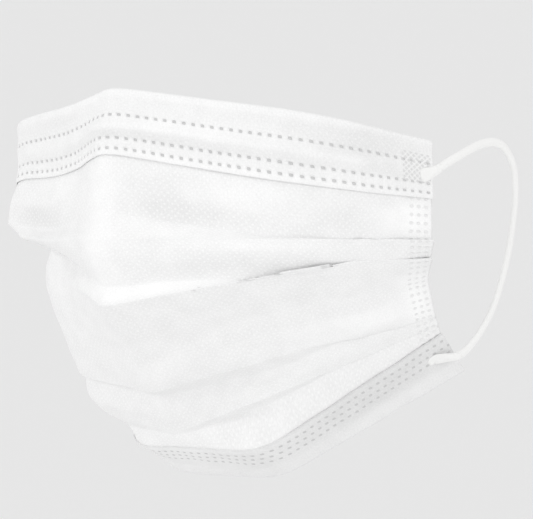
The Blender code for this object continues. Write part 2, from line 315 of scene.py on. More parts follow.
class Cloth:
    def __init__(self, columnsPerHalf, spacing):
        half = np.linspace(0, 1, columnsPerHalf + 1)
        self.shares = np.concatenate((-half[:0:-1], half))
        self.downs = clothRows(spacing)
        lines = np.stack([foldLine(fold, half) for fold in folds], axis=1)
        out = self.outward(lines)
        names = [fold.name for fold in folds]
        for sway in sways:
            k = names.index(sway.fold)
            weight = np.exp(-(((self.shares - sway.share) / sway.reach) ** 2))[:, None]
            lines[:, k] += weight * (out[:, k] * sway.out - np.array((0, 0, sway.down))) * mm
        flat = smoothStep(np.abs(self.shares), mask["flattenFrom"], mask["flattenTo"])[:, None]
        above = lines.copy()
        below = lines.copy()
        for k, stretch in enumerate(stretches):
            below[:, k] += out[:, k] * flat * stretch.top * mm
            above[:, k + 1] += out[:, k + 1] * flat * stretch.foot * mm

        columns = []
        lifts = []
        far = smoothStep(-self.shares, -0.05, 0.25)
        for down in self.downs:
            k = min(int(np.searchsorted(foldDowns, down, side="right")) - 1, len(stretches) - 1)
            t = (down - foldDowns[k]) / (foldDowns[k + 1] - foldDowns[k])
            point = below[:, k] * (1 - t) + above[:, k + 1] * t
            swell = stretches[k]
            lift = sideBlend(self.shares, swell.swellNear, swell.swellNose, swell.swellFar) * (4 * t * (1 - t)) ** 2
            nearest = k + 1 if t > 0.5 else k
            if 0 < nearest < len(folds) - 1:
                point = self.rolled(point, nearest, down, far, above, below)
            columns.append(point)
            lifts.append(lift)
        self.points = np.stack(columns, axis=1)
        self.normals = self.surfaceNormals()
        fade = 1 - smoothStep(np.abs(self.shares), 0.8, 1.0)[:, None]
        lift = np.stack(lifts, axis=1) * mm * fade + dentField(self.shares, self.downs) * (0.25 + 0.75 * fade)
        self.points = self.points + self.normals * lift[..., None]
        self.normals = self.surfaceNormals()

    @staticmethod
    def rolled(point, k, down, far, above, below):
        # a row beside fold k follows the round of the fold
        room = 0.45 * min(foldDowns[k] - foldDowns[k - 1], foldDowns[k + 1] - foldDowns[k])
        roll = np.minimum((folds[k].rollNear * (1 - far) + folds[k].rollFar * far) * mm, room)
        turn = np.clip((down - foldDowns[k] + roll) / (2 * roll), 0, 1)[:, None]
        upper = (roll / (foldDowns[k] - foldDowns[k - 1]))[:, None]
        lower = (roll / (foldDowns[k + 1] - foldDowns[k]))[:, None]
        start = below[:, k - 1] * upper + above[:, k] * (1 - upper)
        stop = below[:, k] * (1 - lower) + above[:, k + 1] * lower
        curve = (
            start * (1 - turn) ** 3
            + 3 * above[:, k] * turn * (1 - turn) ** 2
            + 3 * below[:, k] * turn**2 * (1 - turn)
            + stop * turn**3
        )
        inside = (turn > 0) & (turn < 1)
        return np.where(inside, curve, point)

    @staticmethod
    def outward(lines):
        # outwards, square to the fold and to the line between the outer folds beside it
        along = np.gradient(lines, axis=0)
        out = np.zeros_like(lines)
        for k in range(lines.shape[1]):
            before = max([fold for fold in outerFolds if fold < k], default=0)
            after = min([fold for fold in outerFolds if fold > k], default=outerFolds[-1])
            down = lines[:, after] - lines[:, before]
            out[:, k] = unit(np.cross(down, along[:, k]))
        return out

    def surfaceNormals(self):
        along = np.gradient(self.points, axis=0)
        down = np.gradient(self.points, axis=1)
        return unit(np.cross(down, along))

    def at(self, shares, downs):
        # points and outward normals of the cloth
        c = np.interp(shares, self.shares, np.arange(len(self.shares)))
        r = np.interp(downs, self.downs, np.arange(len(self.downs)))
        c0 = np.minimum(c.astype(int), len(self.shares) - 2)
        r0 = np.minimum(r.astype(int), len(self.downs) - 2)
        fc = (c - c0)[..., None]
        fr = (r - r0)[..., None]
        found = []
        for field in (self.points, self.normals):
            upper = field[c0, r0] * (1 - fc) + field[c0 + 1, r0] * fc
            lower = field[c0, r0 + 1] * (1 - fc) + field[c0 + 1, r0 + 1] * fc
            found.append(upper * (1 - fr) + lower * fr)
        return found[0], unit(found[1])


def gridPiece(name, columns, rows, place, uvPlace, ply, inward=True, moreMaps=None, paintedLightAt=None):
    # a flat grid whose points are moved to place(column, row); a ply gives it its thickness
    build = bmesh.new()
    bmesh.ops.create_grid(build, x_segments=len(columns) - 1, y_segments=len(rows) - 1, size=0.5)
    mesh = bpy.data.meshes.new(name)
    build.to_mesh(mesh)
    build.free()
    count = len(mesh.vertices)
    flat = np.empty(count * 3)
    mesh.vertices.foreach_get("co", flat)
    flat = flat.reshape(-1, 3)
    c = np.rint((flat[:, 0] + 0.5) * (len(columns) - 1)).astype(int)
    r = np.rint((0.5 - flat[:, 1]) * (len(rows) - 1)).astype(int)
    shares = np.asarray(columns)[c]
    places = np.asarray(rows)[r]
    points = place(shares, places)
    mesh.vertices.foreach_set("co", points.ravel())
    corner = np.empty(len(mesh.loops), dtype=np.int32)
    mesh.loops.foreach_get("vertex_index", corner)
    maps = {"clothMap": uvPlace, **(moreMaps or {})}
    for title, mapPlace in maps.items():
        layer = mesh.uv_layers.new(name=title)
        layer.data.foreach_set("uv", mapPlace(shares, places)[corner].ravel())
    # the painted highlights and painted shade, kept on each point for the material to read
    if paintedLightAt:
        layer = mesh.attributes.new("paintedLightAndShade", "FLOAT", "POINT")
        layer.data.foreach_set("value", paintedLightAt(shares, places))
    mesh.shade_smooth()
    mesh.update()
    piece = bpy.data.objects.new(name, mesh)
    bpy.context.collection.objects.link(piece)
    if ply:
        wall = piece.modifiers.new("ply", "SOLIDIFY")
        wall.thickness = ply
        wall.offset = -1 if inward else 1
        wall.use_even_offset = False
    return piece


def clothUv(shares, downs):
    return np.stack((shares * mask["halfCut"] * 10, -downs * 10), axis=1)  # 1 unit is 100 mm


def pressed(along, across, halfAlong, halfAcross, ramp):
    # 1 inside a pressed spot, 0 outside it
    inAlong = np.clip((halfAlong - np.abs(along)) / ramp + 0.5, 0, 1)
    inAcross = np.clip((halfAcross - np.abs(across)) / ramp + 0.5, 0, 1)
    return inAlong * inAcross


cloth = Cloth(220, 0.8)
print("cloth folded:", cloth.points.shape[:2])

# The pleated cloth

body = {
    "column": 1.3 * mm,
    "endColumn": 0.7 * mm,
    "endZone": 8.6 * mm,
    "weldColumns": (1.9, 4.2, 6.5),  # pressed rows beside each end, mm from the cut edge
    "weldPitch": 2.27,
    "weldHalf": (0.45, 0.62),
    "weldFrom": 15.0 * mm,
    "weldTo": 67.6 * mm,
    "foldedHeight": 82.5 * mm,
    "hidden": (2.0, 6.0, 10.0, 14.0),  # rows under the top strip, mm down
    "shownFrom": 16.5 * mm,
}


def endColumns(zone, fine, coarse):
    half = mask["halfCut"]
    inner = np.linspace(0, half - zone, round((half - zone) / coarse) + 1)
    outer = np.linspace(half - zone, half, round(zone / fine) + 1)[1:]
    side = np.concatenate((inner, outer)) / half
    return np.concatenate((-side[:0:-1], side))


def downTheEdge(downs):
    return np.interp(downs, foldDowns, [fold.edge for fold in folds]) * body["foldedHeight"]


def bodyPlace(shares, downs):
    return cloth.at(shares, downs)[0]


def endMap(shares, downs):
    # how far down the cut edge and how far in from it, in units of 100 mm; away from the welds
    # above and below the pleats
    edge = downTheEdge(downs)
    welded = (edge > body["weldFrom"]) & (edge < body["weldTo"])
    fromEnd = (1 - np.abs(shares)) * mask["halfCut"]
    return np.stack((edge * 10, -fromEnd * 10 - np.where(welded, 0, 1)), axis=1)


def bodyRows():
    hidden = [down * mm for down in body["hidden"]]
    shown = [down for down in cloth.downs if body["shownFrom"] < down < hemTop + 1.2 * mm]
    foot = np.linspace(hemTop + 2.2 * mm, foldDowns[-1] - 0.3 * mm, 9)
    return np.array([*hidden, *shown, *foot])


maskCloth = gridPiece(
    "maskCloth", endColumns(body["endZone"], body["endColumn"], body["column"]), bodyRows(), bodyPlace, clothUv,
    mask["ply"], moreMaps={"endMap": endMap}, paintedLightAt=paintedLightAndShade,
)
print("cloth body:", len(maskCloth.data.polygons), "faces")

# The strip folded over the top edge

binding = {
    "start": 0.5 * mm,  # the cloth's own edge lies this far inside the fold
    "droop": (0.10, 0.14),  # the far end of its lower edge hangs a little, then more
    "front": 18.0 * mm,
    "back": 12.0 * mm,
    "off": 0.36 * mm,  # the leaf's outer face off the cloth
    "pitch": 2.53 * mm,
    "dotHalf": (0.58 * mm, 0.48 * mm),
    "dotDepth": 0.32 * mm,
    "dotsUpTo": 0.985,
    "dotColumns": (-0.76, -0.46, 0.46, 0.76, 1.265),  # columns round a dot and between two, mm
    "endZone": (9.5 * mm, 0.30 * mm),  # how long it is and how fine its columns are
    "rows": ((6.7, 0.0), (13.1, 0.0), (16.1, 0.0)),  # weld rows: mm below the edge, phase
    "wireDown": 10.2 * mm,
    "wireHalf": 3.1 * mm,
    "wireRise": (0.45 * mm, 0.95 * mm),  # far, near
    "wireFrom": -0.56,
    "wireTo": 0.78,
    "hollow": (4.0 * mm, 1.8 * mm, 0.25 * mm),  # between the edge and the wire: down, half width, depth
    "rim": 0.17 * mm,  # the free edge dips to the cloth
    "noseNarrow": 0.055,  # it is narrower over the nose crease
    "endNarrow": 0.025,
    "patch": (82.4, 4.4, 8.7, 4.7),  # the patch under the strap: along, half, down, half, mm
    "hatch": 1.72,  # its criss-cross lines are this far apart, mm
}


def dotColumns(offsets, pitch, zone, fine):
    # columns at the sides of each dot, and fine even ones in the zone at the ends
    half = mask["halfCut"]
    places = []
    for k in range(int((half - zone) / pitch) + 1):
        places.extend(k * pitch + offset * mm for offset in offsets)
    places = sorted(place for place in places if 0 < place < half - zone)
    side = np.array([0.0, *places, *np.linspace(half - zone, half, round(zone / fine) + 1)]) / half
    return np.concatenate((-side[:0:-1], side))


def weldDots(shares, downs, strip):
    # how deep each point is pressed in
    along = shares * mask["halfCut"]
    dimple = np.zeros(len(shares))
    for row, phase in strip["rows"]:
        offDot = ((along / strip["pitch"] - phase + 0.5) % 1 - 0.5) * strip["pitch"]
        dimple = np.maximum(dimple, pressed(offDot, downs - row * mm, *strip["dotHalf"], 0.2 * mm))
    return dimple * strip["dotDepth"] * (np.abs(shares) < strip["dotsUpTo"])


def bindingLeaf(shares, downs):
    # the wire's ridge stands out; the hollow above it, the dots and the rim sink in
    press = weldDots(shares, downs, binding)
    ridge = np.clip(1 - np.abs(downs - binding["wireDown"]) / binding["wireHalf"], 0, 1)
    ridge = smoothStep(ridge, 0, 0.9)
    along = smoothStep(shares, binding["wireFrom"] - 0.03, binding["wireFrom"] + 0.05)
    along *= 1 - smoothStep(shares, binding["wireTo"] - 0.02, binding["wireTo"] + 0.03)
    low, high = binding["wireRise"]
    rise = low + (high - low) * smoothStep(shares, -0.25, 0.05)
    down, wide, deep = binding["hollow"]
    hollow = deep * np.exp(-(((downs - down) / wide) ** 2))
    rim = binding["rim"] * smoothStep(downs, binding["front"] - 1.1 * mm, binding["front"] - 0.1 * mm)
    return ridge * along * rise - hollow - press - rim


def wrapGrid(name, columns, frontRows, backRows, leaf, edgeDown, sign, off, widen=np.ones_like, places=()):
    # a strip folded round an edge of the cloth: front leaf, half a turn and back leaf in one grid.
    # sign is 1 at the top edge and -1 at the lower one; leaf moves the front leaf in or out
    ply = mask["bindingPly"]
    turnSteps = 7
    gap = 0.06 * mm  # between the cloth and the back leaf
    radius = (off + mask["ply"] + gap + ply) / 2
    rows = [*sorted(frontRows, reverse=True), *[0.0] * turnSteps, *sorted(backRows)]
    kinds = [1] * len(frontRows) + [0] * turnSteps + [-1] * len(backRows)
    turns = [0.0] * len(frontRows) + list(np.linspace(0, 1, turnSteps)) + [1.0] * len(backRows)
    indices = np.arange(len(rows))
    rows = np.array(rows)
    kinds = np.array(kinds)
    turns = np.array(turns)

    def place(shares, index):
        index = index.astype(int)
        downs = edgeDown + sign * rows[index] * widen(shares)
        points, normals = cloth.at(shares, downs)
        inside, _ = cloth.at(shares, downs + sign * 1.5 * mm)
        beyond = unit(points - inside)
        front = off + np.where(kinds[index] == 1, leaf(shares, rows[index]), 0)
        middle = off - radius
        angle = turns[index] * math.pi
        over = middle + radius * np.cos(angle)
        offset = np.where(kinds[index] == 1, front, np.where(kinds[index] == 0, over, middle - radius))
        reach = np.where(kinds[index] == 0, radius * np.sin(angle), 0)
        return points + normals * offset[:, None] + beyond * reach[:, None]

    def uv(shares, index):
        index = index.astype(int)
        roundTheFold = turns[index] * math.pi * radius
        signed = np.where(kinds[index] == 1, rows[index], -rows[index] - roundTheFold)
        return clothUv(shares, signed)

    # the painted highlights and painted shade of this strip
    def paintedLightAt(shares, index):
        return paintedLightAndShade(shares, rows[index.astype(int)], places)

    return gridPiece(name, columns, indices, place, uv, ply, inward=sign > 0, paintedLightAt=paintedLightAt)


def bindingRows():
    # close rows at the hollow, the dots, the wire and the rim, in mm
    rows = [0.35, 0.9, 1.8, 2.8]
    rows += list(np.linspace(3.7, 6.1, 6))
    for row, _ in binding["rows"]:
        rows += [row - 0.66, row - 0.38, row + 0.38, row + 0.66]
    rows += list(np.linspace(7.7, 12.3, 12)) + [14.6, 17.3, 17.7, binding["front"] / mm]
    return np.array(sorted(rows)) * mm


def bindingWidth(shares):
    first, second = binding["droop"]
    nose = binding["noseNarrow"] * np.exp(-(((shares + 0.06) / 0.30) ** 2))
    end = binding["endNarrow"] * smoothStep(shares, 0.7, 1.0)
    droop = first * smoothStep(-shares, 0.50, 0.68) + second * smoothStep(-shares, 0.66, 0.78)
    return 1 - nose - end + droop


topBinding = wrapGrid(
    "topBinding", dotColumns(binding["dotColumns"], binding["pitch"], *binding["endZone"]), bindingRows(),
    np.linspace(0.8 * mm, binding["back"], 9), bindingLeaf, binding["start"], 1, binding["off"],
    widen=bindingWidth, places=stripPaintedLight,
)
print("top binding:", len(topBinding.data.polygons), "faces")

# The strip folded over the lower edge

hem = {
    "frontUpTo": -0.25 * mm,  # its upper edge, past the hem fold
    "back": 7.5 * mm,
    "off": 0.36 * mm,
    "pitch": 2.53 * mm,
    "dotHalf": (0.56 * mm, 0.40 * mm),
    "dotDepth": 0.07 * mm,
    "dotsUpTo": 0.99,
    "dotColumns": (-0.76, -0.46, 0.46, 0.505, 0.805, 1.725),  # the middle row is half a pitch on
    "endZone": (0.4 * mm, 0.2 * mm),
    "rows": ((2.0, 0.0), (4.5, 0.5), (7.0, 0.0)),  # mm past the hem fold, phase
    "plainRows": (3.25, 5.75, 8.4, 9.4, 10.0, 10.6, 11.1, 11.6, 12.1, 12.6, 13.3, 14.0),
    "tuck": 0.12 * mm,  # how far off the cloth its upper edge is
}


def hemLeaf(shares, fromEdge):
    past = hemLength - fromEdge
    dots = weldDots(shares, past, hem)
    tucked = (hem["off"] - hem["tuck"]) * (1 - smoothStep(past, 0.1 * mm, 1.3 * mm))
    return -dots - tucked


def hemRows():
    past = [hem["frontUpTo"] / mm]
    for row, _ in hem["rows"]:
        past += [row - 0.58, row - 0.3, row + 0.3, row + 0.58]
    past += hem["plainRows"]
    return np.array([hemLength - place * mm for place in past if place * mm < hemLength - 0.3 * mm])


# Painted light and shade on the hem strip, up from its lower edge: lighter at the middle, painted shade towards the
# near end, and a lighter margin along the edge
hemPaintedLight = (
    Density(0.00, 10.0, 22, 6.5, 0, 0.30),
    Density(0.72, 10.0, 32, 5.6, 0, -0.34),
    Density(0.30, 2.0, 60, 3.2, 0, 0.16),
)
bottomHem = wrapGrid(
    "bottomHem", dotColumns(hem["dotColumns"], hem["pitch"], *hem["endZone"]), hemRows(),
    np.linspace(0.8 * mm, hem["back"], 7), hemLeaf, foldDowns[-1], -1, hem["off"], places=hemPaintedLight,
)
print("bottom hem:", len(bottomHem.data.polygons), "faces")

# The ear loops

loop = {
    "diameter": 0.0025,
    "flatness": 0.64,  # its thickness for its width
    "around": 16,
    "step": 0.8 * mm,
    "route": (  # from the top strap to the foot: across, back and down, in metres
        (0.0679, 0.0490, 0.0223),
        (0.0683, 0.0509, 0.0211),
        (0.0692, 0.0536, 0.0196),
        (0.0700, 0.0567, 0.0181),
        (0.0705, 0.0620, 0.0160),
        (0.0706, 0.0680, 0.0142),
        (0.0708, 0.0740, 0.0135),
        (0.0709, 0.0795, 0.0150),
        (0.0706, 0.0845, 0.0200),
        (0.0693, 0.0876, 0.0277),
        (0.0667, 0.0903, 0.0362),
        (0.0642, 0.0918, 0.0445),
        (0.0616, 0.0923, 0.0526),
        (0.0591, 0.0919, 0.0597),
        (0.0565, 0.0906, 0.0652),
        (0.0545, 0.0888, 0.0690),
        (0.0537, 0.0855, 0.0716),
        (0.0531, 0.0814, 0.0729),
    ),
}


def smoothRoute(points, step):
    # a smooth curve through the points, cut into even steps
    fine = []
    padded = [2 * points[0] - points[1], *points, 2 * points[-1] - points[-2]]
    for before, start, stop, after in zip(padded, padded[1:], padded[2:], padded[3:]):
        for t in np.linspace(0, 1, 8, endpoint=False):
            fine.append(
                0.5 * (2 * start + (stop - before) * t + (2 * before - 5 * start + 4 * stop - after) * t**2
                       + (3 * start - before - 3 * stop + after) * t**3)
            )
    fine = np.array([*fine, points[-1]])
    length = np.linalg.norm(np.diff(fine, axis=0), axis=1).sum()
    return atShares(fine, np.linspace(0, 1, round(length / step) + 1)), length


def closeTube(piece):
    # joins the seam along the tube and fills its ends
    build = bmesh.new()
    build.from_mesh(piece.data)
    bmesh.ops.remove_doubles(build, verts=build.verts, dist=0.00001)
    bmesh.ops.holes_fill(build, edges=build.edges, sides=0)
    bmesh.ops.recalc_face_normals(build, faces=build.faces)
    build.to_mesh(piece.data)
    build.free()
    piece.data.shade_smooth()


def earLoop(name, side):
    route = [np.array((side * across, back, -down)) for across, back, down in loop["route"]]
    line, length = smoothRoute(route, loop["step"])
    along = unit(np.gradient(line, axis=0))
    sideways = unit(np.cross(along, np.array((side * 1.0, 0.0, 0.0))))
    outward = unit(np.cross(sideways, along))
    radius = loop["diameter"] / 2

    def place(index, turn):
        index = index.astype(int)
        angle = turn * 2 * math.pi
        ends = np.minimum(index, len(line) - 1 - index) * loop["step"]
        taper = np.sqrt(np.clip(ends / (0.5 * mm), 0.02, 1))
        wide = sideways[index] * (np.cos(angle) * radius * taper)[:, None]
        thick = outward[index] * (np.sin(angle) * radius * loop["flatness"] * taper)[:, None]
        return line[index] + wide + thick

    def uv(index, turn):
        return np.stack((index * loop["step"] * 10, turn * math.pi * loop["diameter"] * 10), axis=1)

    turns = np.linspace(0, 1, loop["around"] + 1)
    piece = gridPiece(name, np.arange(len(line)), turns, place, uv, 0)
    closeTube(piece)
    return piece, line, length


loops = {}
for side, word in ((1, "Right"), (-1, "Left")):
    loops[word] = earLoop(f"earLoop{word}", side)
print("ear loops:", round(loops["Right"][2] * 1000), "mm each")

# The pressed ends of the elastic: each runs in from the loop and flattens on the welded patch

strapEnd = {
    "around": 20,
    "steps": 24,
    "tipThick": 0.45 * mm,
    "joinThick": 1.5 * mm,
    "lift": (0.2 * mm, 0.6 * mm),  # off the strip at the tip, and at its second point
    "toSecond": (0.025, -1.1),  # from the tip to that point: share, mm down
    "onLoop": 5,  # it covers the loop as far as this point
    "tipRound": 0.16,  # share of its length in which the tip rounds off
    "ribs": (5, 0.10),  # knitted ribs round it, and how far they stand out
}
# Where a tip sits: share, mm down its strip; width of the tip and of the joint, mm
StrapEnd = namedtuple("StrapEnd", "share down width joinWidth")
strapTop = StrapEnd(0.954, 11.4, 3.9, 2.9)
strapFoot = StrapEnd(0.905, 7.4, 3.4, 2.4)


def strapPiece(name, side, strap, leafOff, top, line):
    # line is the loop's own, starting at this strap
    shareOn, downOn = strapEnd["toSecond"]
    shares = np.array((strap.share, strap.share + shareOn)) * side
    downs = top + np.array((strap.down, strap.down + downOn)) * mm
    points, normals = cloth.at(shares, downs)
    seated = points + normals * (leafOff + np.array(strapEnd["lift"]))[:, None]
    route = np.concatenate((seated, line[1 : strapEnd["onLoop"] : 2]))
    straight = np.linalg.norm(np.diff(route, axis=0), axis=1).sum()
    centre, _ = smoothRoute(list(route), straight / strapEnd["steps"])
    along = unit(np.gradient(centre, axis=0))
    reach = np.linspace(0, 1, len(centre))
    up = unit(normals[:1] * (1 - reach)[:, None] + np.array((side * 1.0, 0.0, 0.0)) * reach[:, None])
    sideways = unit(np.cross(along, up))
    up = unit(np.cross(sideways, along))

    def place(index, turn):
        index = index.astype(int)
        angle = turn * 2 * math.pi
        t = reach[index]
        tip = np.sqrt(np.clip(1 - (1 - np.clip(t / strapEnd["tipRound"], 0, 1)) ** 2, 0.02, 1))
        width = (strap.width + (strap.joinWidth - strap.width) * smoothStep(t, 0.1, 0.75)) * mm * tip
        thick = strapEnd["tipThick"] + (strapEnd["joinThick"] - strapEnd["tipThick"]) * smoothStep(t, 0.2, 0.9)
        ribs = 1 + strapEnd["ribs"][1] * np.cos(angle * strapEnd["ribs"][0])
        wide = sideways[index] * (np.cos(angle) * width / 2)[:, None]
        return centre[index] + wide + up[index] * (np.sin(angle) * thick / 2 * ribs)[:, None]

    def uv(index, turn):
        return np.stack((index * 0.004, turn * strap.width * mm * 20), axis=1)

    turns = np.linspace(0, 1, strapEnd["around"] + 1)
    piece = gridPiece(name, np.arange(len(centre)), turns, place, uv, 0)
    closeTube(piece)
    return piece


strapEnds = {}
for side, word in ((1, "Right"), (-1, "Left")):
    line = loops[word][1]
    strapEnds[word] = (
        strapPiece(f"strapEnd{word}Top", side, strapTop, binding["off"], 0.0, line),
        strapPiece(f"strapEnd{word}Foot", side, strapFoot, hem["off"], hemTop, line[::-1]),
    )
print("pressed strap ends: 4")

# The wire in the top strip, on the cloth and under the strip's front leaf

noseWire = {"from": -0.54, "to": 0.765, "wide": 4.0 * mm, "thick": 0.34 * mm, "gap": 0.02 * mm}


def wirePlace(shares, across):
    points, normals = cloth.at(shares, binding["wireDown"] + across * noseWire["wide"] / 2)
    inEnd = np.minimum(shares - noseWire["from"], noseWire["to"] - shares) * mask["halfCut"] / mm
    rounded = np.sqrt(np.clip(1 - across**2, 0.04, 1)) * np.clip(inEnd / 1.5 + 0.2, 0, 1)
    return points + normals * (noseWire["gap"] + noseWire["thick"] * rounded)[:, None]


wireStrip = gridPiece(
    "noseWireStrip", np.linspace(noseWire["from"], noseWire["to"], 160), np.linspace(-1, 1, 9), wirePlace,
    lambda shares, across: clothUv(shares, across * noseWire["wide"] / 2), 0.25 * mm,
)
print("nose wire laid")

# The materials


def srgb(hexValue):
    channels = [int(hexValue[i : i + 2], 16) / 255 for i in (0, 2, 4)]
    return [c / 12.92 if c <= 0.04045 else ((c + 0.055) / 1.055) ** 2.4 for c in channels] + [1.0]


def addNode(tree, kind, inputs=None, **settings):
    # each input is a plain value or the socket that feeds it
    node = tree.nodes.new(kind)
    for key, value in settings.items():
        setattr(node, key, value)
    for key, value in (inputs or {}).items():
        if isinstance(value, bpy.types.NodeSocket):
            tree.links.new(value, node.inputs[key])
        else:
            node.inputs[key].default_value = value
    return node


def newMaterial(name):
    made = bpy.data.materials.new(name)
    made.use_nodes = True
    made.node_tree.nodes.clear()
    return made, made.node_tree


def spunbondPolypropylene(name, tones, bondShow, welds, hatch=None):
    # spunbond polypropylene, melted in points and rows: soft matt fuzz with faint satin specks
    made, tree = newMaterial(name)
    uv = addNode(tree, "ShaderNodeUVMap", uv_map="clothMap").outputs["UV"]
    # bond points 1.9 mm apart in a diamond lattice, which is a square one turned by 45 degrees
    pitch = 1.9 / math.sqrt(2) / 100
    lattice = addNode(tree, "ShaderNodeMapping", {"Vector": uv, "Rotation": (0, 0, math.pi / 4)}).outputs[0]
    bonds = addNode(
        tree, "ShaderNodeTexVoronoi", {"Vector": lattice, "Scale": 1 / pitch, "Randomness": 0.34},
        voronoi_dimensions="2D",
    )
    spot = addNode(
        tree, "ShaderNodeMapRange",
        {"Value": bonds.outputs["Distance"], "From Min": 0.10, "From Max": 0.30, "To Min": 1.0, "To Max": 0.0},
        interpolation_type="SMOOTHSTEP",
    ).outputs[0]
    # single fibres are too fine to show, so the grain is drawn 0.5 mm coarse; the web is thin and
    # thick in places of about 5 mm
    fibre = addNode(
        tree, "ShaderNodeTexNoise", {"Vector": uv, "Scale": 100 / 0.5, "Detail": 4.0, "Roughness": 0.7},
        noise_dimensions="2D",
    ).outputs["Fac"]
    cloud = addNode(
        tree, "ShaderNodeTexNoise", {"Vector": uv, "Scale": 100 / 5.0, "Detail": 2.0, "Roughness": 0.5},
        noise_dimensions="2D",
    ).outputs["Fac"]
    grain = addNode(tree, "ShaderNodeMapRange", {"Value": fibre, "From Min": 0.1, "From Max": 0.9}).outputs[0]
    webAndPaintedLight = addNode(tree, "ShaderNodeMix", {0: 0.30, 2: grain, 3: cloud}, data_type="FLOAT").outputs[0]
    # painted highlights and painted shade are added here to the web's own thin and thick places
    paintedLightValue = addNode(tree, "ShaderNodeAttribute", attribute_name="paintedLightAndShade").outputs["Fac"]
    webAndPaintedLight = addNode(tree, "ShaderNodeMath", {0: webAndPaintedLight, 1: paintedLightValue}, operation="ADD", use_clamp=True).outputs[0]
    colour = addNode(
        tree, "ShaderNodeMix", {0: webAndPaintedLight, 6: srgb(tones["thin"]), 7: srgb(tones["thick"])}, data_type="RGBA"
    ).outputs[2]
    show = addNode(tree, "ShaderNodeMath", {0: spot, 1: bondShow}, operation="MULTIPLY").outputs[0]
    colour = addNode(tree, "ShaderNodeMix", {0: show, 6: colour, 7: srgb(tones["bond"])}, data_type="RGBA").outputs[2]
    gloss = addNode(tree, "ShaderNodeMapRange", {"Value": spot, "To Min": 0.56, "To Max": 0.40}).outputs[0]
    height = addNode(tree, "ShaderNodeMath", {0: fibre, 1: 0.9, 2: spot}, operation="MULTIPLY_ADD").outputs[0]
    melted = weldMask(tree, welds)
    # weld spots: partly the melted film, partly painted shade of the pressed dimple
    colour = addNode(tree, "ShaderNodeMix", {0: melted, 6: colour, 7: srgb(tones["weldAndShade"])}, data_type="RGBA").outputs[2]
    if hatch:
        diamonds = hatchMask(tree, uv, hatch)
        colour = addNode(
            tree, "ShaderNodeMix", {0: diamonds, 6: colour, 7: srgb(tones["diamond"])}, data_type="RGBA"
        ).outputs[2]
        melted = addNode(tree, "ShaderNodeMath", {0: melted, 1: diamonds}, operation="MAXIMUM").outputs[0]
    fuzz = addNode(tree, "ShaderNodeBump", {"Height": height, "Strength": 0.25, "Distance": 0.00012}).outputs[0]
    sunk = addNode(
        tree, "ShaderNodeBump", {"Height": melted, "Normal": fuzz, "Strength": welds["sink"], "Distance": 0.0003},
        invert=True,
    ).outputs[0]
    shader = addNode(
        tree, "ShaderNodeBsdfPrincipled",
        {"Base Color": colour, "Normal": sunk, "Roughness": gloss, "IOR": 1.49, "Specular IOR Level": 0.5},
    )
    addNode(tree, "ShaderNodeOutputMaterial", {"Surface": shader.outputs[0]})
    return made


def weldMask(tree, welds):
    # rows of melted spots: place and phase of each row, pitch along it and half sizes, all in mm
    uv = addNode(tree, "ShaderNodeUVMap", uv_map=welds["map"]).outputs["UV"]
    parts = addNode(tree, "ShaderNodeSeparateXYZ", {"Vector": uv}).outputs
    halfAlong, halfDown = welds["half"]
    step = welds["pitch"] / halfAlong
    melted = 0.0
    for row, phase in welds["rows"]:
        along = addNode(
            tree, "ShaderNodeMath", {0: parts[0], 1: 100 / halfAlong, 2: -phase * step}, operation="MULTIPLY_ADD"
        ).outputs[0]
        along = addNode(tree, "ShaderNodeMath", {0: along, 1: step / 2}, operation="PINGPONG").outputs[0]
        down = addNode(
            tree, "ShaderNodeMath", {0: parts[1], 1: 100 / halfDown, 2: row / halfDown}, operation="MULTIPLY_ADD"
        ).outputs[0]
        along = addNode(tree, "ShaderNodeMath", {0: along, 1: welds["square"]}, operation="POWER").outputs[0]
        down = addNode(tree, "ShaderNodeMath", {0: down}, operation="ABSOLUTE").outputs[0]
        down = addNode(tree, "ShaderNodeMath", {0: down, 1: welds["square"]}, operation="POWER").outputs[0]
        both = addNode(tree, "ShaderNodeMath", {0: along, 1: down}, operation="ADD").outputs[0]
        dot = addNode(
            tree, "ShaderNodeMapRange",
            {"Value": both, "From Min": welds["soft"][0], "From Max": welds["soft"][1], "To Min": 1.0, "To Max": 0.0},
            interpolation_type="SMOOTHSTEP",
        ).outputs[0]
        melted = addNode(tree, "ShaderNodeMath", {0: dot, 1: melted}, operation="MAXIMUM").outputs[0]
    return melted


